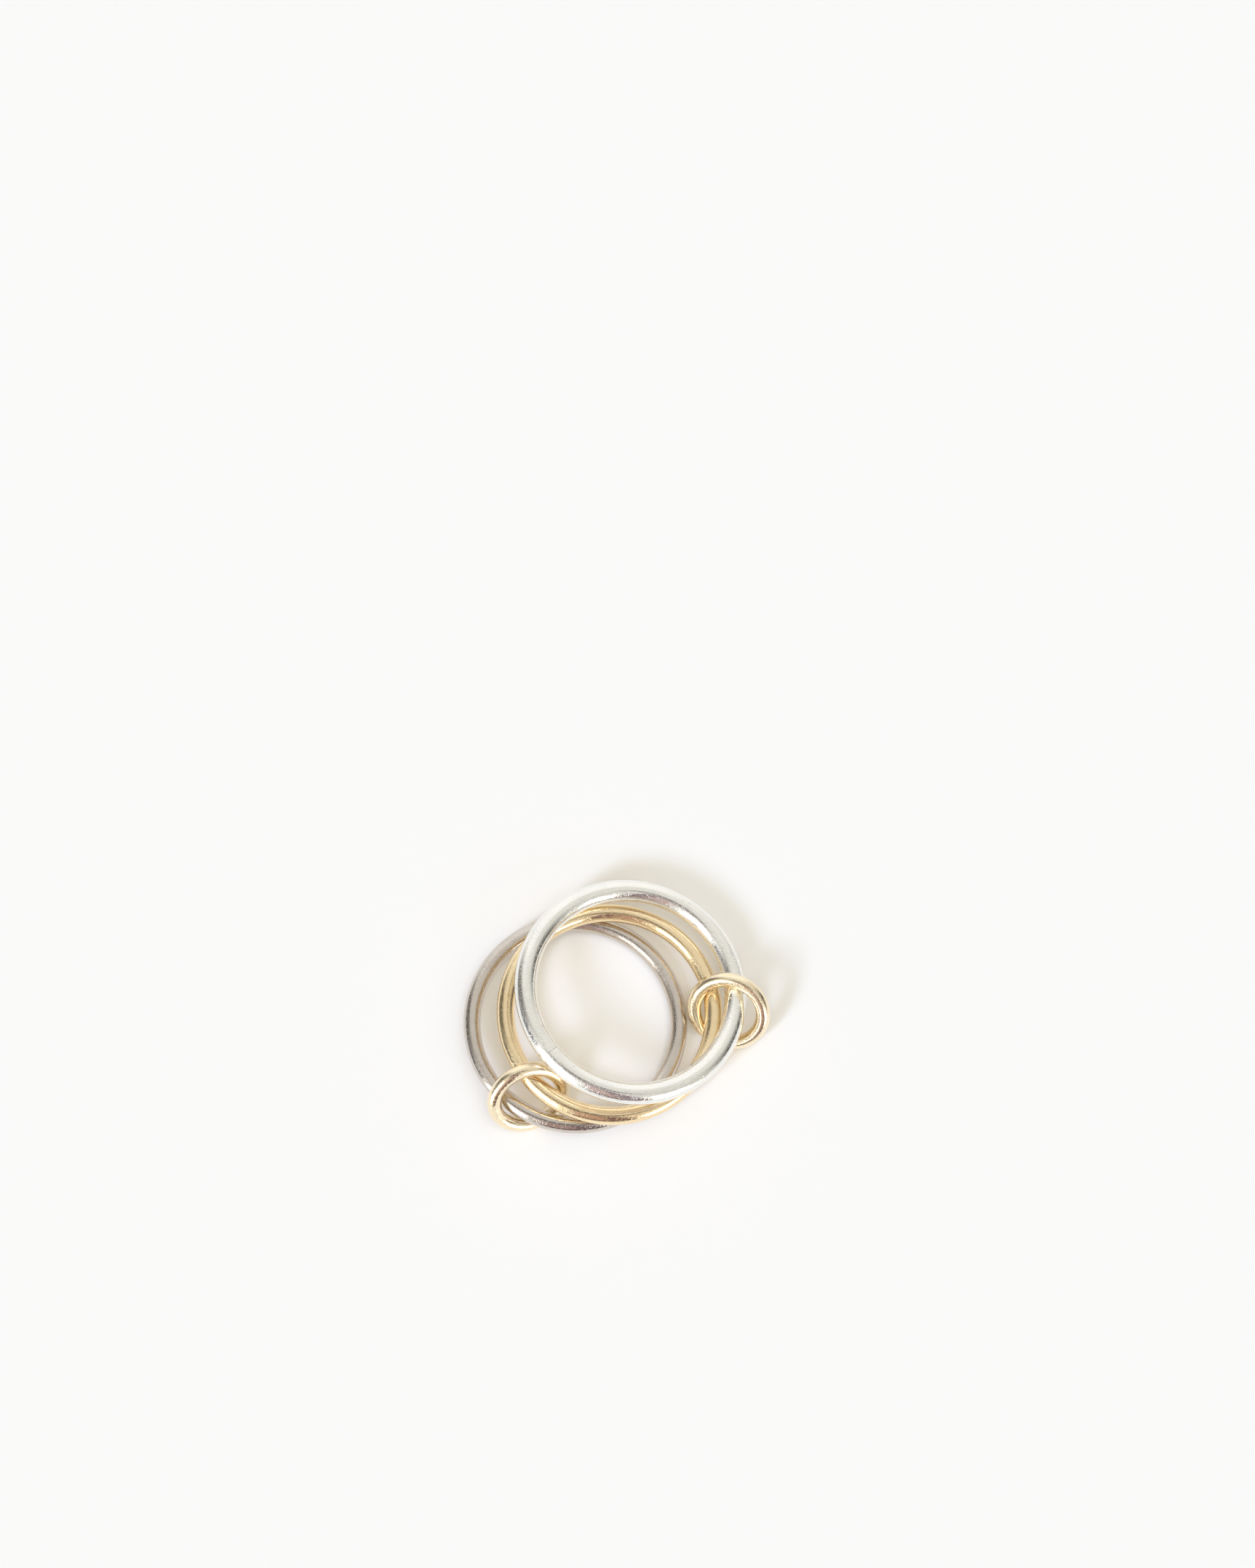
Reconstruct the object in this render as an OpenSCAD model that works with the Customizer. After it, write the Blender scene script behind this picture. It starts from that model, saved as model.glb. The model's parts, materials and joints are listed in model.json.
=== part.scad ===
// Three linked finger rings, lying as they come to rest on a table.
// Three round-wire bands lean on one another like fanned coins. The lower link joins the grey and
// yellow gold bands, and the upper link joins the yellow gold and silver bands.
// X runs to the right, Y away from the front, Z up. Lengths are in millimetres.

/* [Bands] */
// Inner diameter of the three bands, the finger size
finger_d = 17.3; // [14:0.1:22]
// Thickness of the silver band's round wire
silver_wire = 2.0; // [1.4:0.05:2.6]
// Thickness of the yellow gold band's round wire
gold_wire = 1.65; // [1.2:0.05:2.1]
// Thickness of the grey gold band's round wire
grey_wire = 1.55; // [1.1:0.05:2]

/* [Links] */
// Thickness of the two links' round wire
link_wire = 1.3; // [0.9:0.05:1.7]
// Spare width inside a link, beside a silver and a gold wire
link_play = 1.45; // [1.3:0.05:2]

/* [How the bands lie] */
// Tilt of the grey band, which the lower link props up
grey_tilt = 4.5; // [3:0.5:7]
// Direction in plan that the grey band slopes down to
grey_slope = 45; // [30:1:60]
// Tilt of the yellow gold band, which leans on the grey one
gold_tilt = 5.6; // [4:0.2:8]
// Direction in plan that the yellow gold band slopes down to
gold_slope = 37; // [25:1:50]
// Direction in plan that the yellow gold band is shifted to, from the grey one
gold_side = 11.5; // [5:0.5:18]
// Tilt of the silver band, which leans on the yellow gold one
silver_tilt = 12.3; // [10:0.1:14]
// Direction in plan that the silver band slopes down to
silver_slope = 36; // [28:1:44]
// Distance in plan that the silver band is shifted by, from the yellow gold one
silver_shift = 2.57; // [2.3:0.01:2.9]
// Direction in plan that the silver band is shifted to, from the yellow gold one
silver_side = 42; // [36:1:48]

/* [How the links lie] */
// Place of the lower link round the grey band
lower_on_grey = 239; // [234:1:244]
// Place of the lower link round the yellow gold band
lower_on_gold = 226; // [222:1:230]
// Where the lower link's centre is, as a share of the way from the grey wire to the gold one
lower_split = 0.53; // [0.45:0.01:0.6]
// How far the lower link has slipped up its own slope
lower_slip = 0.16; // [-0.2:0.01:0.3]
// Place of the upper link round the yellow gold band
upper_on_gold = 1; // [-4:1:6]
// Place of the upper link round the silver band
upper_on_silver = -6; // [-10:1:-2]
// Where the upper link's centre is, as a share of the way from the gold wire to the silver one
upper_split = 0.64; // [0.55:0.01:0.68]
// How far the upper link has slipped up its own slope
upper_slip = -0.2; // [-0.4:0.01:0.2]
// How far the upper link's rim reaches over the grey band's rim, seen from above
rim_overhang = 0.04; // [0:0.01:0.1]

/* [Clearances] */
// Gap left where one band rests on another
rest_gap = 0.06; // [0.03:0.01:0.15]
// Least gap between a link and the wires that run through it
link_gap = 0.12; // [0.08:0.01:0.2]

/* [Hidden] */
$fn = 96;

// Degrees between the points at which the room between two rings is measured
sample_step = 1;
// Half of the arc of a band that is measured against a link
link_arc = 24;
// Number of halvings that settle a height or a lean
halvings = 18;
// Least and greatest lean of a link, measured from the wires that it holds
least_lean = 20;
greatest_lean = 89;

link_hole = silver_wire + gold_wire + link_play;
link_outer_r = link_hole / 2 + link_wire;
// Distance in plan between the gold and silver wires at the upper link
upper_spread = silver_shift * cos(silver_side) + (silver_wire - gold_wire) / 2;
// The gold band stands far enough over for the upper link to clear the grey band
gold_shift = link_outer_r - upper_split * upper_spread + grey_wire - gold_wire / 2 - rim_overhang;

// A ring is [centre, tilt, slope direction, radius of the wire's centreline, radius of the wire].
function ring(centre, tilt, slope, inner_d, wire) = [centre, tilt, slope, (inner_d + wire) / 2, wire / 2];
function along(direction) = [cos(direction), sin(direction), 0];
function unit(v) = v / norm(v);
function raised(r, height) = [r[0] + [0, 0, height], r[1], r[2], r[3], r[4]];

// The ring's own directions: down its slope, level across it, and square to its plane
function down_slope(r) = [cos(r[1]) * cos(r[2]), cos(r[1]) * sin(r[2]), -sin(r[1])];
function across(r) = [-sin(r[2]), cos(r[2]), 0];
function axis(r) = [sin(r[1]) * cos(r[2]), sin(r[1]) * sin(r[2]), cos(r[1])];

// The centreline's point at an angle in plan, and the wire's direction there
function place(r, a) = r[0] + r[3] * (cos(a - r[2]) * down_slope(r) + sin(a - r[2]) * across(r));
function heading(r, a) = -sin(a - r[2]) * down_slope(r) + cos(a - r[2]) * across(r);

// Distance from a point to a ring's centreline
function off_centreline(r, p) =
    let (w = p - r[0], h = w * axis(r))
    norm([sqrt(max(0, w * w - h * h)) - r[3], h]);

// Room between the surfaces of two rings, along an arc of the second one
function room(r, other, from = 0, to = 360) =
    min([for (a = [from : sample_step : to]) off_centreline(r, place(other, a))]) - r[4] - other[4];

// The lowest height at which a band lies clear of the rings below it
function settle(band, below, low, high, n = halvings) =
    let (middle = (low + high) / 2, tried = raised(band, middle))
    n == 0 ? raised(band, high)
    : min([for (r = below) room(r, tried)]) < rest_gap ? settle(band, below, middle, high, n - 1)
    : settle(band, below, low, middle, n - 1);

// A link round two wires, leaning from them by an angle.
// a and b are [point, direction] of the wires, which the link's plane passes through.
function link(a, b, split, slip, lean) =
    let (
        over = unit(b[0] - a[0]),
        wires = a[1] + b[1],
        run = unit(wires - (wires * over) * over),
        rise = cross(over, run),
        up = rise[2] < 0 ? -rise : rise,
        slope = cos(lean) * run + sin(lean) * up,
        n = cross(over, slope),
        normal = n[2] < 0 ? -n : n
    )
    ring(a[0] + split * (b[0] - a[0]) + slip * slope, acos(normal[2]), atan2(normal[1], normal[0]),
         link_hole, link_wire);

// The least lean at which a link clears both wires.
// wires holds [band, place on it] twice. way is 1 if the link rises anticlockwise and -1 if not.
function lean_over(wires, split, slip, way, low = least_lean, high = greatest_lean, n = halvings) =
    let (
        a = [place(wires[0][0], wires[0][1]), way * heading(wires[0][0], wires[0][1])],
        b = [place(wires[1][0], wires[1][1]), way * heading(wires[1][0], wires[1][1])],
        middle = (low + high) / 2,
        tried = link(a, b, split, slip, middle)
    )
    n == 0 ? link(a, b, split, slip, high)
    : min([for (w = wires) room(tried, w[0], w[1] - link_arc, w[1] + link_arc)]) < link_gap
      ? lean_over(wires, split, slip, way, middle, high, n - 1)
    : lean_over(wires, split, slip, way, low, middle, n - 1);

// The pieces, from the table up
grey = ring([0, 0, 0], grey_tilt, grey_slope, finger_d, grey_wire);
gold_centre = gold_shift * along(gold_side);
gold = settle(ring(gold_centre, gold_tilt, gold_slope, finger_d, gold_wire), [grey], 0, finger_d);
lower = lean_over([[grey, lower_on_grey], [gold, lower_on_gold]], lower_split, lower_slip, -1);
silver_centre = gold_centre + silver_shift * along(silver_side);
silver = settle(ring(silver_centre, silver_tilt, silver_slope, finger_d, silver_wire),
                [grey, gold, lower], 0, finger_d);
upper = lean_over([[gold, upper_on_gold], [silver, upper_on_silver]], upper_split, upper_slip, 1);

// The origin is the middle of the bottom of the box round all five pieces
pieces = [grey, lower, gold, upper, silver];
function reach(r, i) = r[3] * sqrt(1 - pow(axis(r)[i], 2)) + r[4];
function lowest(i) = min([for (r = pieces) r[0][i] - reach(r, i)]);
function highest(i) = max([for (r = pieces) r[0][i] + reach(r, i)]);
origin = [(lowest(0) + highest(0)) / 2, (lowest(1) + highest(1)) / 2, lowest(2)];

// A round wire bent into a closed ring
module round_ring(r) {
    translate(r[0] - origin)
        rotate([0, r[1], r[2]])
            rotate_extrude()
                translate([r[3], 0])
                    circle(r = r[4]);
}

module grey_band() {
    color("darkgray") round_ring(grey);
}

module lower_link() {
    color("goldenrod") round_ring(lower);
}

module gold_band() {
    color("gold") round_ring(gold);
}

module upper_link() {
    color("goldenrod") round_ring(upper);
}

module silver_band() {
    color("whitesmoke") round_ring(silver);
}

grey_band();
lower_link();
gold_band();
upper_link();
silver_band();
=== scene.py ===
"""The looks of three linked finger rings: polished wire bands and links in a plain white studio.

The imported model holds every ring's place and size. Each ring is modelled afresh here as a smooth
round wire with its solder seam, polished by hand, and takes the place of its CAD node.
"""

import json
import logging
import math
from dataclasses import dataclass, field
from enum import Enum
from typing import Any, Sequence

import bpy
import numpy as np
from mathutils import Matrix, Vector

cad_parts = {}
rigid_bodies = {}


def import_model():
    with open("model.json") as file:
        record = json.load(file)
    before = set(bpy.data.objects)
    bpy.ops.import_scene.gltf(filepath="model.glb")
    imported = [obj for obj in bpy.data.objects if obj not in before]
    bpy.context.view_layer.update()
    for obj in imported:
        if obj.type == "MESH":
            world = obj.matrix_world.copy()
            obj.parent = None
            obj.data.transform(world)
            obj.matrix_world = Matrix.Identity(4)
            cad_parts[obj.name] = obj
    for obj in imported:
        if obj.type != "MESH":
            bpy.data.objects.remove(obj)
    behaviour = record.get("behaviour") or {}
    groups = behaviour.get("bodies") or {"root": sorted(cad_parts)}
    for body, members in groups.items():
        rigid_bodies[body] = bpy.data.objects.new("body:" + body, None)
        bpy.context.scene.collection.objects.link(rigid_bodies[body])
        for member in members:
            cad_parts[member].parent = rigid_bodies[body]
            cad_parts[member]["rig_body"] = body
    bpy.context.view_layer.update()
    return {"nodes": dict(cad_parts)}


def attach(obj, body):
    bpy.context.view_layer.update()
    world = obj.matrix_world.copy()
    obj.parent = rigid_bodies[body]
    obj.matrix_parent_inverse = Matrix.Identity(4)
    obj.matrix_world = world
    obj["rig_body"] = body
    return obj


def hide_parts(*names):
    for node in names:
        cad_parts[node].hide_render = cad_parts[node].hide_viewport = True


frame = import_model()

logging.basicConfig(level=logging.INFO, format="%(message)s")
LOG = logging.getLogger("rings")

MM = 0.001
FULL_TURN = 2 * math.pi

Colour = tuple[float, float, float]


# ---------------------------------------------------------------------------------------------
# Shader arithmetic
# ---------------------------------------------------------------------------------------------


class Wired:
    """An output socket that takes part in Python arithmetic on single values."""

    def __init__(self, bench: "Bench", socket: bpy.types.NodeSocket) -> None:
        """Wraps a socket.

        Args:
            bench: the node tree that the socket is in.
            socket: the output socket.
        """
        self.bench = bench
        self.socket = socket

    def _math(self, operation: str, *values: Any) -> "Wired":
        """Adds a Math node.

        Args:
            operation: the node's operation.
            values: its inputs, in order.

        Returns:
            The result.
        """
        return self.bench.node("ShaderNodeMath", {"operation": operation}, dict(enumerate(values)))

    def __add__(self, other: Any) -> "Wired":
        """Adds a value."""
        return self._math("ADD", self, other)

    __radd__ = __add__

    def __sub__(self, other: Any) -> "Wired":
        """Takes a value away."""
        return self._math("SUBTRACT", self, other)

    def __rsub__(self, other: Any) -> "Wired":
        """Is taken away from a value."""
        return self._math("SUBTRACT", other, self)

    def __mul__(self, other: Any) -> "Wired":
        """Multiplies by a value."""
        return self._math("MULTIPLY", self, other)

    __rmul__ = __mul__

    def __truediv__(self, other: Any) -> "Wired":
        """Divides by a value."""
        return self._math("DIVIDE", self, other)

    def __rtruediv__(self, other: Any) -> "Wired":
        """Divides a value."""
        return self._math("DIVIDE", other, self)

    def __pow__(self, other: Any) -> "Wired":
        """Is raised to a power."""
        return self._math("POWER", self, other)

    def angle_from(self, upward: Any) -> "Wired":
        """The angle from upright of a direction that goes this far sideways."""
        return self._math("ARCTAN2", self, upward)

    def arccos(self) -> "Wired":
        """The angle with this cosine."""
        return self._math("ARCCOSINE", self)

    def at_most(self, other: Any) -> "Wired":
        """The smaller of this and a value."""
        return self._math("MINIMUM", self, other)

    def at_least(self, other: Any) -> "Wired":
        """The larger of this and a value."""
        return self._math("MAXIMUM", self, other)

    def rise(self, start: float, end: float) -> "Wired":
        """Eases from 0 at one value to 1 at another.

        Args:
            start: where the result is 0.
            end: where the result is 1. It may be the smaller of the two.

        Returns:
            The eased value.
        """
        settings = {"interpolation_type": "SMOOTHSTEP"}
        if start <= end:
            return self.bench.node("ShaderNodeMapRange", settings, {0: self, 1: start, 2: end})
        return 1 - self.rise(end, start)


class Bench:
    """A node tree under construction."""

    def __init__(self, tree: bpy.types.NodeTree) -> None:
        """Clears a tree to build in.

        Args:
            tree: a material's or the world's node tree.
        """
        self.tree = tree
        tree.nodes.clear()

    def node(
        self, kind: str, settings: dict[str, Any], inputs: dict[Any, Any], output: Any = 0
    ) -> Wired:
        """Adds any node.

        Args:
            kind: the node's type.
            settings: its properties, set before its inputs.
            inputs: a value, a colour or a wired socket for each input, by name or number.
            output: the name or number of the output wanted.

        Returns:
            That output.
        """
        made = self.tree.nodes.new(kind)
        for name, value in settings.items():
            setattr(made, name, value)
        for name, value in inputs.items():
            if isinstance(value, Wired):
                self.tree.links.new(value.socket, made.inputs[name])
            elif isinstance(value, tuple) and len(value) == 3 and made.inputs[name].type == "RGBA":
                made.inputs[name].default_value = (*value, 1.0)
            else:
                made.inputs[name].default_value = value
        outputs = made.outputs
        return Wired(self, outputs[output]) if len(outputs) else Wired(self, None)

    def mix(self, share: Any, first: Any, second: Any) -> Wired:
        """Mixes two colours.

        Args:
            share: how much of the second there is.
            first: the colour at a share of 0.
            second: the colour at a share of 1.

        Returns:
            The mixed colour.
        """
        return self.node("ShaderNodeMix", {"data_type": "RGBA"}, {0: share, 6: first, 7: second}, 2)

    def noise(
        self,
        place: Wired,
        scale: float,
        detail: float = 2.0,
        rough: float = 0.5,
        lap: Any = None,
    ) -> Wired:
        """Adds a cloud of noise from 0 to 1.

        Args:
            place: where the noise is read.
            scale: cells to a unit of place.
            detail: number of finer layers.
            rough: strength of the finer layers.
            lap: a fourth coordinate, or None.

        Returns:
            The noise.
        """
        settings = {"noise_dimensions": "3D" if lap is None else "4D"}
        inputs = {"Vector": place, "Scale": scale, "Detail": detail, "Roughness": rough}
        if lap is not None:
            inputs["W"] = lap
        return self.node("ShaderNodeTexNoise", settings, inputs)

    def split(self, vector: Wired) -> tuple[Wired, Wired, Wired]:
        """Takes a vector apart.

        Args:
            vector: the vector.

        Returns:
            Its three numbers.
        """
        first = self.node("ShaderNodeSeparateXYZ", {}, {0: vector})
        outputs = first.socket.node.outputs
        return first, Wired(self, outputs[1]), Wired(self, outputs[2])


# ---------------------------------------------------------------------------------------------
# Metals
# ---------------------------------------------------------------------------------------------

# Cells to a metre of the patterns in a metal's surface.
CLOUD_CELLS = 520
GRAIN_CELLS = 9000
DENT_CELLS = 7600
PIT_CELLS = 8200.0

# The height that a height of 1 stands for, and the depths of the patterns as shares of it. The
# first four are also multiplied by the metal's own grain.
RELIEF = 0.004 * MM
GRAIN_DEPTH = 0.45
DENT_DEPTH = 1.5
PIT_DEPTH = 4.6
SCRATCH_DEPTH = 0.28
NICK_DEPTH = 1.6
LIP_HEIGHT = 0.5

# How far a nick is dulled and darkened, and how dark its bottom is made, as a share of the tarnish
# colour.
NICK_ROUGHNESS = 0.25
NICK_SHADE = 0.75
NICK_BRIGHTNESS = 0.32

# The roughness of the scuffed share of a metal's face.
SCUFFED_ROUGHNESS = 0.5

# The polishing lines come in three sizes: cells to a millimetre along the wire and round it, and a
# shift that keeps them apart.
POLISHING_LINES = ((0.7, 16.0, 0.0), (3.4, 5.0, 3.1), (9.0, 1.6, 7.7))


@dataclass(frozen=True)
class Mark:
    """A scratch or nick in a wire's surface.

    turn is its place round the ring in degrees, lap its place round the wire in degrees, from the
    outer side over the top. length runs along the wire and width across it, in millimetres.
    """

    turn: float
    lap: float
    length: float
    width: float
    depth: float = 1.0


@dataclass(frozen=True)
class Metal:
    """A polished metal.

    slot is the CAD's slot for it. tarnish tints its dull patches and its pits, and pitting says
    how strongly. haze is what the dull patches add to its roughness, grain the strength of its
    relief, and veil the share of its face that is scuffed.
    """

    slot: str
    colour: Colour
    tarnish: Colour
    roughness: float
    haze: float
    grain: float
    veil: float = 0.0
    pitting: float = 0.25

    def dress(self, piece: bpy.types.Object, wire: "Wire") -> bpy.types.Material:
        """Gives a ring its polished finish.

        Args:
            piece: the ring's mesh object, with its turn and lap attributes.
            wire: the ring's sizes and marks.

        Returns:
            The new material.
        """
        material = bpy.data.materials.new(f"{piece.name}_{self.slot}")
        material.use_nodes = True
        bench = Bench(material.node_tree)
        turn = bench.node("ShaderNodeAttribute", {"attribute_name": "turn"}, {}, "Vector")
        lap = bench.node("ShaderNodeAttribute", {"attribute_name": "lap"}, {}, "Vector")
        place = bench.node("ShaderNodeTexCoord", {}, {}, "Object")

        clouds = bench.noise(place, CLOUD_CELLS, 3.0)
        grain = bench.noise(place, GRAIN_CELLS, 2.0, 0.6)
        dents = bench.noise(place, DENT_CELLS, 1.5).rise(0.57, 0.66) * clouds.rise(0.34, 0.56)
        pits = self._pits(bench, place)
        scratches = self._scratches(bench, turn, lap, wire)
        marks, lip = self._marks(bench, turn, lap, wire)

        dull = clouds.rise(0.45, 0.75) * 0.35 + grain.rise(0.4, 0.7) * 0.5 + scratches * 0.6
        roughness = self.roughness + self.haze * dull.at_most(1.0) + NICK_ROUGHNESS * marks
        stain = clouds.rise(0.4, 0.8) * 0.25 + pits * self.pitting
        tint = bench.mix(stain, self.colour, self.tarnish)
        dark = tuple(NICK_BRIGHTNESS * c for c in self.tarnish)
        tint = bench.mix((marks * NICK_SHADE).at_most(1.0), tint, dark)
        height = grain * (GRAIN_DEPTH * self.grain) - dents * (DENT_DEPTH * self.grain)
        height = height - pits * (PIT_DEPTH * self.grain)
        height = height - scratches * (SCRATCH_DEPTH * self.grain)
        height = height - marks * NICK_DEPTH + lip * LIP_HEIGHT
        relief = {"Strength": 1.0, "Distance": RELIEF, "Height": height}
        bump = bench.node("ShaderNodeBump", {}, relief, "Normal")
        look = {"Base Color": tint, "Metallic": 1.0, "Roughness": roughness, "Normal": bump}
        shader = bench.node("ShaderNodeBsdfPrincipled", {}, look)
        if self.veil:
            look = {**look, "Roughness": SCUFFED_ROUGHNESS}
            scuffed = bench.node("ShaderNodeBsdfPrincipled", {}, look)
            shader = bench.node("ShaderNodeMixShader", {}, {0: self.veil, 1: shader, 2: scuffed})
        bench.node("ShaderNodeOutputMaterial", {}, {"Surface": shader})
        piece.data.materials.clear()
        piece.data.materials.append(material)
        return material

    def _pits(self, bench: Bench, place: Wired) -> Wired:
        """Scatters the tiny pits that glint in polished metal.

        Args:
            bench: the material's nodes.
            place: where the metal is.

        Returns:
            1 in the middle of a pit and 0 between the pits.
        """
        inputs = {"Vector": place, "Scale": PIT_CELLS}
        near = bench.node("ShaderNodeTexVoronoi", {}, inputs, "Distance")
        lot = Wired(bench, near.socket.node.outputs["Color"])
        return (1 - near * 2).at_least(0.0) * lot.rise(0.43, 0.51)

    def _scratches(self, bench: Bench, turn: Wired, lap: Wired, wire: "Wire") -> Wired:
        """Draws the fine lines that a polishing cloth leaves.

        Args:
            bench: the material's nodes.
            turn: the place round the ring.
            lap: the place round the wire.
            wire: the ring's sizes.

        Returns:
            1 in a scratch and 0 elsewhere.
        """
        turn_x, turn_y, _ = bench.split(turn)
        lap_x, lap_y, _ = bench.split(lap)
        lines: Wired | None = None
        for along, round_wire, shift in POLISHING_LINES:
            reach = along * wire.radius / MM
            coil = round_wire * wire.thickness / MM / 2
            inputs = {0: turn_x * reach, 1: turn_y * reach + shift, 2: lap_x * coil}
            where = bench.node("ShaderNodeCombineXYZ", {}, inputs)
            streaks = bench.noise(where, 1.0, 2.0, 0.6, lap_y * coil).rise(0.62, 0.7)
            lines = streaks if lines is None else (lines + streaks).at_most(1.0)
        return lines

    def _marks(self, bench: Bench, turn: Wired, lap: Wired, wire: "Wire") -> tuple[Wired, Wired]:
        """Draws the ring's own nicks.

        Args:
            bench: the material's nodes.
            turn: the place round the ring.
            lap: the place round the wire.
            wire: the ring's sizes and marks.

        Returns:
            The nicks, and the raised lips beside them, both from 0 to 1.
        """
        turn_x, turn_y, _ = bench.split(turn)
        lap_x, lap_y, _ = bench.split(lap)
        # A new Value node holds 0.
        total = lips = bench.node("ShaderNodeValue", {}, {})
        for mark in wire.marks:
            a, b = math.radians(mark.turn), math.radians(mark.lap)
            along = (turn_y * math.cos(a) - turn_x * math.sin(a)) * (wire.radius / MM)
            across = (lap_y * math.cos(b) - lap_x * math.sin(b)) * (wire.thickness / MM / 2)
            near = (turn_x * math.cos(a) + turn_y * math.sin(a)).rise(0.0, 0.1)
            near = near * (lap_x * math.cos(b) + lap_y * math.sin(b)).rise(0.0, 0.1)
            # 0 in the nick's middle and 1 at its edge. The lip stands just outside that.
            way = ((along / (mark.length / 2)) ** 2.0 + (across / (mark.width / 2)) ** 2.0) ** 0.5
            total = total + way.rise(1.0, 0.3) * near * mark.depth
            lips = lips + way.rise(1.9, 1.3) * way.rise(0.9, 1.3) * near * mark.depth
        return total.at_most(1.0), lips.at_most(1.0)


class Finish(Enum):
    """The metals that the rings are made of."""

    SILVER = Metal("silver", (0.94, 0.93, 0.885), (0.80, 0.80, 0.81), 0.06, 0.04, 0.65, 0.06, 0.1)
    YELLOW_GOLD = Metal("yellow_gold", (0.975, 0.80, 0.52), (0.84, 0.56, 0.27), 0.035, 0.035, 0.55)
    # The links' gold is the bands' yellow gold painted paler, a painted highlight that stands in
    # for the brighter, paler look of their lit faces.
    PALER_PAINTED_LINK_GOLD = Metal("yellow_gold", (0.99, 0.865, 0.635), (0.88, 0.66, 0.42), 0.03, 0.03, 0.55)
    GREY_GOLD = Metal("grey_gold", (0.68, 0.627, 0.57), (0.53, 0.46, 0.43), 0.04, 0.04, 0.65)


# ---------------------------------------------------------------------------------------------
# Rings
# ---------------------------------------------------------------------------------------------


def select_only(piece: bpy.types.Object) -> None:
    """Makes a piece the only selected and the active object.

    Args:
        piece: the object.
    """
    for other in bpy.context.selected_objects:
        other.select_set(False)
    piece.select_set(True)
    bpy.context.view_layer.objects.active = piece


@dataclass
class Wire:
    """A closed ring of round wire, which takes the place of one CAD node.

    seam_turn is the solder seam's place round the ring in degrees, and seam_share the share of the
    wire's width that it crosses, from the inner side. radius is the ring's, to the middle of the
    wire.
    """

    node: str
    piece_name: str
    finish: Finish
    seam_turn: float
    seam_share: float = 1.0
    steps: int = 320
    sides: int = 56
    seam_width: float = 0.035 * MM
    seam_depth: float = 0.012 * MM
    polish_wave: float = 0.007 * MM
    wave_size: float = 2.6 * MM
    marks: Sequence[Mark] = ()
    centre: Vector = field(init=False)
    axis: Vector = field(init=False)
    radius: float = field(init=False)
    thickness: float = field(init=False)

    def __post_init__(self) -> None:
        """Reads the ring's place and sizes from its CAD node."""
        mesh = frame["nodes"][self.node].data
        points = np.empty(len(mesh.vertices) * 3)
        mesh.vertices.foreach_get("co", points)
        points = np.unique(points.reshape(-1, 3).round(7), axis=0)
        middle = (points.min(0) + points.max(0)) / 2
        spread = points - middle
        normal = np.linalg.eigh(spread.T @ spread)[1][:, 0]
        normal *= 1 if normal[2] > 0 else -1
        height = spread @ normal
        reach = np.sqrt(np.maximum((spread**2).sum(1) - height**2, 0))
        self.centre = Vector(middle)
        self.axis = Vector(normal)
        self.radius = float(reach.max() + reach.min()) / 2
        self.thickness = float(reach.max() - reach.min())

    @property
    def frame_matrix(self) -> Matrix:
        """The ring's own frame: its centre, +X laid in its plane, and its axis."""
        across = self.axis.cross(Vector((1, 0, 0))).normalized()
        ahead = across.cross(self.axis).normalized()
        turned = Matrix((ahead, across, self.axis)).transposed().to_4x4()
        return Matrix.Translation(self.centre) @ turned

    def build(self) -> bpy.types.Object:
        """Models the ring, puts it in its place and dresses it.

        Returns:
            The finished piece.
        """
        piece = self._bend_wire()
        self._cut_seam(piece)
        self._polish(piece)
        self._write_places(piece)
        self._put_in_place(piece)
        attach(piece, frame["nodes"][self.node]["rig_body"])
        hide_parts(self.node)
        self.finish.value.dress(piece, self)
        return piece

    def _bend_wire(self) -> bpy.types.Object:
        """Spins a round section into a closed ring about Z.

        Returns:
            The new ring, at the origin.
        """
        for other in bpy.context.selected_objects:
            other.select_set(False)
        bpy.ops.mesh.primitive_circle_add(
            vertices=self.sides, radius=self.thickness / 2, location=(0, 0, 0)
        )
        piece = bpy.context.active_object
        piece.name = self.piece_name
        piece.data.name = self.piece_name
        bpy.ops.object.mode_set(mode="EDIT")
        bpy.ops.mesh.select_all(action="SELECT")
        bpy.ops.transform.rotate(value=math.pi / 2, orient_axis="X", center_override=(0, 0, 0))
        bpy.ops.transform.translate(value=(self.radius, 0, 0))
        bpy.ops.mesh.spin(steps=self.steps, angle=FULL_TURN, center=(0, 0, 0), axis=(0, 0, 1))
        bpy.ops.mesh.select_all(action="SELECT")
        bpy.ops.mesh.remove_doubles(threshold=0.001 * MM)
        bpy.ops.mesh.normals_make_consistent(inside=False)
        bpy.ops.object.mode_set(mode="OBJECT")
        return piece

    def _cut_seam(self, piece: bpy.types.Object) -> None:
        """Cuts the hairline of the solder seam into the wire.

        Args:
            piece: the ring, still at the origin.
        """
        turn = math.radians(self.seam_turn)
        out = Vector((math.cos(turn), math.sin(turn), 0))
        ahead = Vector((-out.y, out.x, 0))
        select_only(piece)
        bpy.ops.object.mode_set(mode="EDIT")
        for shift in (-self.seam_width, 0.0, self.seam_width):
            self._pick(piece, lambda p: p.dot(out) > 0 and abs(p.dot(ahead)) < self.radius / 4)
            place = out * self.radius + ahead * shift
            bpy.ops.mesh.bisect(plane_co=place, plane_no=ahead, use_fill=False)
        half = self.thickness / 2

        def in_groove(p: Vector) -> bool:
            """Whether a point is on the seam's middle line and in its open part."""
            inward = self.radius - p.dot(out)
            here = p.dot(out) > 0 and abs(p.dot(ahead)) < self.seam_width / 4
            return here and inward > half * (1 - 2 * self.seam_share)

        self._pick(piece, in_groove)
        shrink = 1 - self.seam_depth / half
        bpy.ops.transform.resize(value=(shrink, shrink, shrink), center_override=out * self.radius)
        bpy.ops.object.mode_set(mode="OBJECT")

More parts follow.
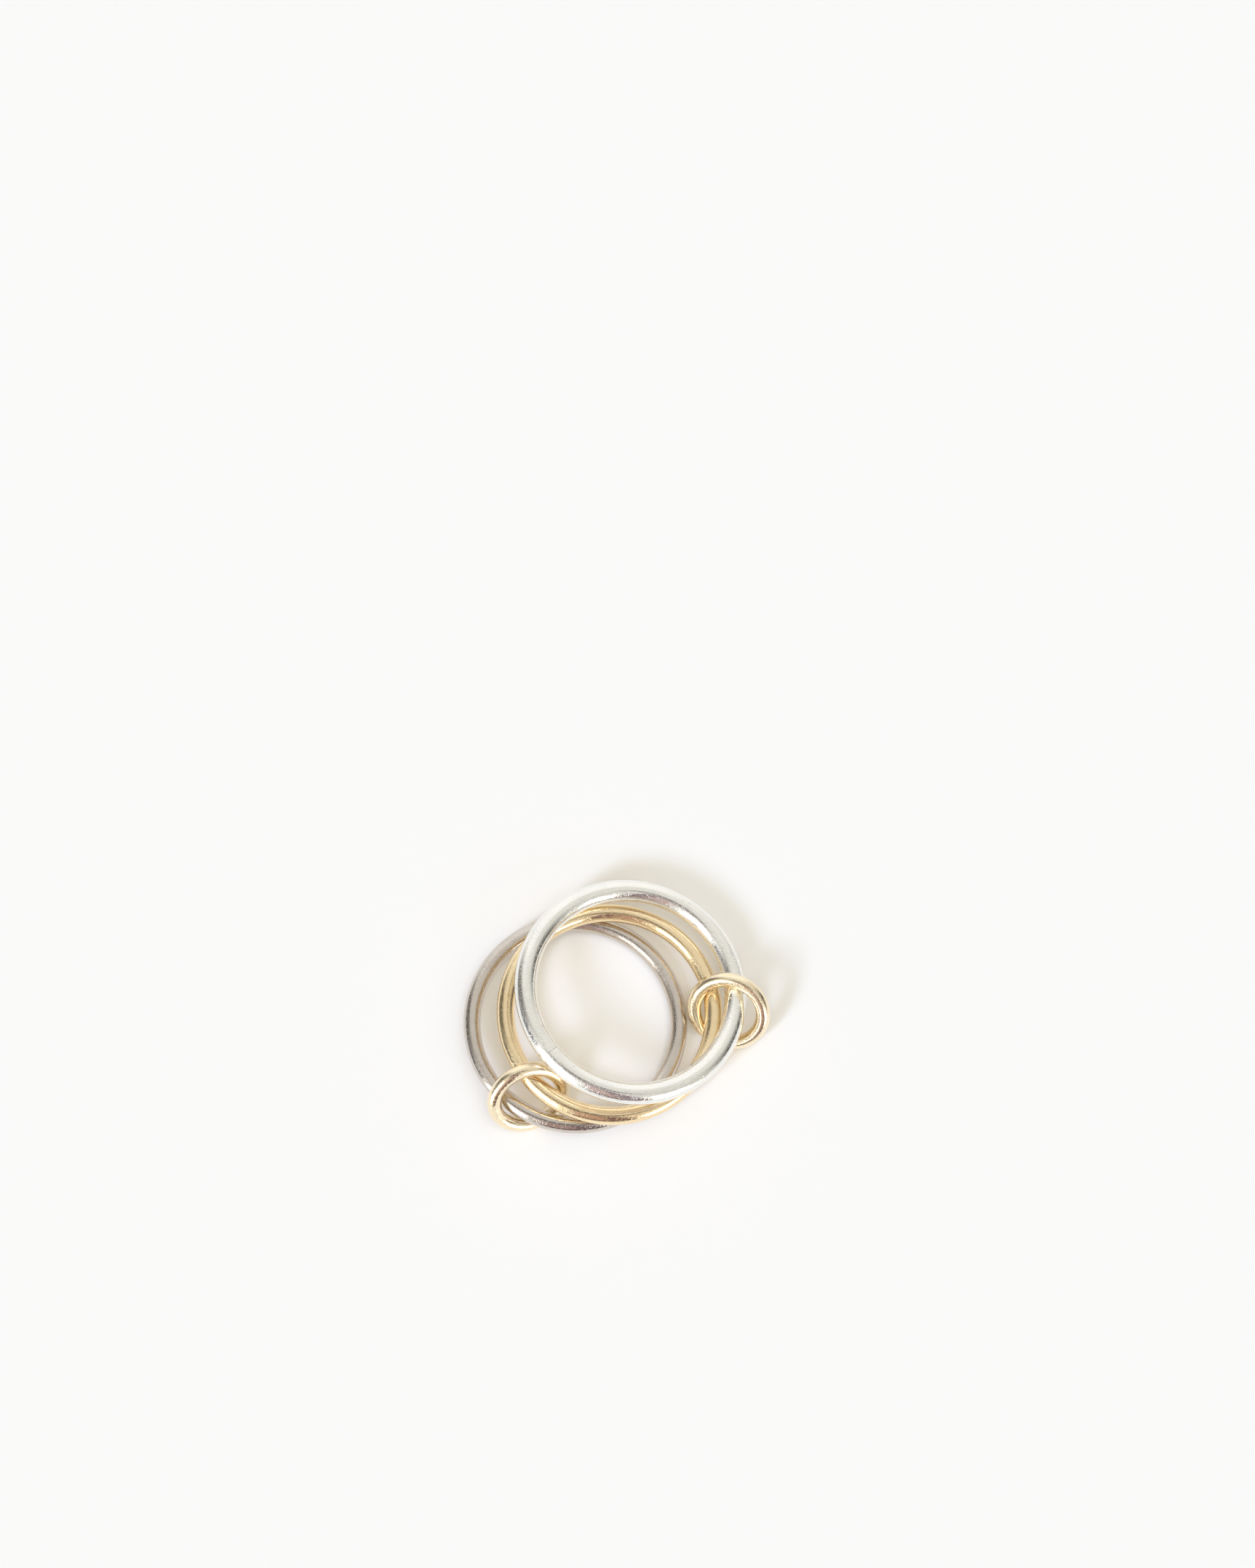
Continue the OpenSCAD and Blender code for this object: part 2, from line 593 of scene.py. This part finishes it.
    def _pick(self, piece: bpy.types.Object, wanted: Any) -> None:
        """Selects the vertices whose place fits, in edit mode.

        Args:
            piece: the ring.
            wanted: says of a point in the ring's own frame whether it is wanted.
        """
        bpy.ops.mesh.select_all(action="DESELECT")
        bpy.ops.object.mode_set(mode="OBJECT")
        for vertex in piece.data.vertices:
            vertex.select = wanted(vertex.co)
        bpy.ops.object.mode_set(mode="EDIT")
        bpy.ops.mesh.select_mode(type="VERT")

    def _polish(self, piece: bpy.types.Object) -> None:
        """Gives the surface the slight waves of hand polishing.

        Args:
            piece: the ring.
        """
        texture = bpy.data.textures.new(f"{self.piece_name}_waves", "CLOUDS")
        texture.noise_scale = self.wave_size
        texture.noise_depth = 1
        select_only(piece)
        waves = piece.modifiers.new("polishing waves", "DISPLACE")
        waves.texture = texture
        waves.texture_coords = "LOCAL"
        waves.strength = self.polish_wave
        waves.mid_level = 0.5
        bpy.ops.object.modifier_apply(modifier=waves.name)
        bpy.ops.object.shade_smooth()

    def _write_places(self, piece: bpy.types.Object) -> None:
        """Writes each vertex's place round the ring and round the wire, as directions.

        Args:
            piece: the ring, still at the origin.
        """
        mesh = piece.data
        points = np.empty(len(mesh.vertices) * 3)
        mesh.vertices.foreach_get("co", points)
        x, y, z = points.reshape(-1, 3).T
        turn = np.arctan2(y, x)
        lap = np.arctan2(z, np.hypot(x, y) - self.radius)
        for name, angle in (("turn", turn), ("lap", lap)):
            places = np.stack([np.cos(angle), np.sin(angle), np.zeros_like(angle)], 1)
            attribute = mesh.attributes.new(name, "FLOAT_VECTOR", "POINT")
            attribute.data.foreach_set("vector", places.ravel())

    def _put_in_place(self, piece: bpy.types.Object) -> None:
        """Moves the ring to its node's place, with its place in its mesh.

        Args:
            piece: the ring.
        """
        select_only(piece)
        piece.matrix_world = self.frame_matrix
        bpy.ops.object.transform_apply(location=True, rotation=True, scale=True)


@dataclass
class Bands:
    """The three finger rings, from the table up."""

    grey: Wire = field(
        default_factory=lambda: Wire("grey_band", "grey_gold_band", Finish.GREY_GOLD, 75, 0.3)
    )
    gold: Wire = field(
        default_factory=lambda: Wire("gold_band", "yellow_gold_band", Finish.YELLOW_GOLD, 50, 0.3)
    )
    silver: Wire = field(
        default_factory=lambda: Wire(
            "silver_band",
            "polished_silver_band",
            Finish.SILVER,
            220.5,
            0.56,
            marks=(
                Mark(220.5, 106, 0.085, 1.2, 0.95),
                Mark(220.5, 79, 0.14, 0.14, 1.0),
                Mark(205.9, 122, 0.32, 0.07, 0.7),
                Mark(235.3, 108, 0.22, 0.13, 0.6),
                Mark(26.6, 67, 0.72, 0.10, 1.0),
                Mark(23.0, 74, 0.72, 0.10, 1.0),
                Mark(61.6, 81, 0.55, 0.06, 0.7),
                Mark(58.2, 74, 0.65, 0.06, 0.7),
                Mark(54.6, 67, 0.65, 0.06, 0.6),
            ),
        )
    )

    def build(self) -> list[bpy.types.Object]:
        """Builds the bands.

        Returns:
            The finished bands.
        """
        return [ring.build() for ring in (self.grey, self.gold, self.silver)]


@dataclass
class Links:
    """The two small rings that join the bands."""

    lower: Wire = field(
        default_factory=lambda: Wire(
            "lower_link", "lower_gold_link", Finish.PALER_PAINTED_LINK_GOLD, 300, 0.3, steps=192, sides=48
        )
    )
    upper: Wire = field(
        default_factory=lambda: Wire(
            "upper_link", "upper_gold_link", Finish.PALER_PAINTED_LINK_GOLD, 250, 0.3, steps=192, sides=48
        )
    )

    def build(self) -> list[bpy.types.Object]:
        """Builds the links.

        Returns:
            The finished links.
        """
        return [ring.build() for ring in (self.lower, self.upper)]


# ---------------------------------------------------------------------------------------------
# Studio
# ---------------------------------------------------------------------------------------------


@dataclass(frozen=True)
class Area:
    """A part of the studio's walls and ceiling, as seen from the table.

    azimuth is its middle, in degrees from +X towards +Y, and half its half width. low and high
    are its limits in degrees from straight up, and the soft values the widths of its edges. Its
    upper edge is level, as a window's is, unless straight is False.
    """

    azimuth: float
    half: float
    soft: float
    low: float
    high: float
    fade: float
    colour: Colour
    strength: float = 1.0
    straight: bool = True

    def paint(self, bench: Bench, ahead: Wired, light: Any) -> Wired:
        """Paints this part over the light that is there already.

        Args:
            bench: the world's nodes.
            ahead: the direction that is looked in.
            light: the light so far.

        Returns:
            The light with this part in it.
        """
        x, y, z = bench.split(ahead)
        flat = ((x * x + y * y) ** 0.5).at_least(1e-4)
        a = math.radians(self.azimuth)
        towards = x * math.cos(a) + y * math.sin(a)
        side = (towards / flat).at_most(1.0).at_least(-1.0).arccos() * (180 / math.pi)
        polar = (towards if self.straight else flat).angle_from(z) * (180 / math.pi)
        share = side.rise(self.half + self.soft / 2, self.half - self.soft / 2)
        share = share * polar.rise(self.low - self.fade / 2, self.low + self.fade / 2)
        share = share * polar.rise(self.high + self.fade / 2, self.high - self.fade / 2)
        return bench.mix(share, light, tuple(self.strength * c for c in self.colour))


@dataclass
class Studio:
    """A pale table, the light of a white room with two windows, and the camera.

    ceiling and walls are what the polished metal mirrors. fill and keys light the table and all
    that isn't a mirror. thrown is what the rings throw back onto the table.
    """

    table_colour: Colour = (0.925, 0.92, 0.915)
    table_reach: float = 3.0
    white: Colour = (1.0, 1.0, 1.0)
    ceiling: Colour = (0.78, 0.76, 0.71)
    walls: tuple[Area, ...] = (
        Area(93, 38, 28, 31, 200, 18, (1.06, 1.05, 1.03)),
        Area(2, 22, 26, 56, 200, 48, (0.09, 0.085, 0.075)),
        Area(161, 18, 20, 32, 94, 46, (0.17, 0.16, 0.145)),
        Area(189, 12, 9, 54, 200, 26, (0.21, 0.21, 0.22)),
        Area(328, 12, 12, 30, 200, 30, (0.64, 0.62, 0.57)),
        Area(272, 20, 9, 22, 200, 16, (0.52, 0.365, 0.33)),
        Area(284, 9, 8, 26, 200, 20, (0.22, 0.155, 0.175)),
        Area(268, 22, 9, 74, 200, 16, (0.17, 0.115, 0.10)),
        Area(269, 76, 26, -30, 24, 12, (0.25, 0.215, 0.20), straight=False),
        Area(222, 17, 6, 38, 200, 8, (1.0, 1.0, 1.0), 2.7),
        Area(310, 12, 6, 61, 200, 12, (1.0, 1.0, 1.0), 3.3),
    )
    fill: Colour = (0.625, 0.572, 0.475)
    thrown: Colour = (2.12, 1.86, 1.46)
    keys: tuple[Area, ...] = (
        Area(313, 94, 60, -40, 22, 20, (0.92, 1.0, 1.0), 3.42, straight=False),
        Area(225, 7, 8, 37, 55, 10, (0.65, 0.73, 0.97), 27.2),
        Area(311, 6, 8, 51, 60, 12, (0.60, 0.70, 1.0), 7.4),
    )
    aim: Vector = field(default_factory=lambda: Vector((1.0, 21.47, 0.0)) * MM)
    elevation: float = 76.2
    distance: float = 400 * MM
    lens: float = 99.1

    def build(self) -> None:
        """Builds the table, the light and the camera."""
        self._table()
        self._light()
        self._camera()
        bpy.context.scene.view_settings.view_transform = "Standard"

    def _table(self) -> None:
        """Lays the white table under the rings."""
        bpy.ops.mesh.primitive_plane_add(size=2 * self.table_reach, location=(0, 0, 0))
        table = bpy.context.active_object
        table.name = "white_table"
        material = bpy.data.materials.new("white_table_top")
        material.use_nodes = True
        bench = Bench(material.node_tree)
        top = bench.node("ShaderNodeBsdfDiffuse", {}, {"Color": self.table_colour})
        bench.node("ShaderNodeOutputMaterial", {}, {"Surface": top})
        table.data.materials.append(material)

    def _light(self) -> None:
        """Lights the world as a white room with windows."""
        scene = bpy.context.scene
        world = scene.world or bpy.data.worlds.new("white_room")
        scene.world = world
        world.use_nodes = True
        bench = Bench(world.node_tree)
        ahead = bench.node("ShaderNodeTexCoord", {}, {}, "Generated")
        mirrored: Any = self.ceiling
        for area in self.walls:
            mirrored = area.paint(bench, ahead, mirrored)
        shed: Any = self.fill
        for area in self.keys:
            shed = area.paint(bench, ahead, shed)
        glossy, depth, seen = (
            bench.node("ShaderNodeLightPath", {}, {}, name)
            for name in ("Is Glossy Ray", "Diffuse Depth", "Is Camera Ray")
        )
        mirrored = bench.mix(depth.rise(0.1, 0.9), mirrored, self.thrown)
        light = bench.mix(glossy, shed, mirrored)
        light = bench.mix(seen, light, self.white)
        room = bench.node("ShaderNodeBackground", {}, {"Color": light, "Strength": 1.0})
        bench.node("ShaderNodeOutputWorld", {}, {"Surface": room})

    def _camera(self) -> None:
        """Sets the camera up, above and in front of the rings."""
        data = bpy.data.cameras.new("camera")
        camera = bpy.data.objects.new("camera", data)
        bpy.context.scene.collection.objects.link(camera)
        lift = math.radians(self.elevation)
        back = Vector((0, -math.cos(lift), math.sin(lift)))
        camera.location = self.aim + back * self.distance
        camera.rotation_euler = (-back).to_track_quat("-Z", "Y").to_euler()
        data.lens = self.lens
        data.sensor_width = 36.0
        data.clip_start = 0.01
        data.clip_end = 20.0
        bpy.context.scene.camera = camera


def main() -> None:
    """Builds the rings and the studio in order."""
    for group in (Bands(), Links()):
        for piece in group.build():
            LOG.info("%s: %d faces", piece.name, len(piece.data.polygons))
    Studio().build()
    LOG.info("studio ready")


if __name__ == "__main__":
    main()
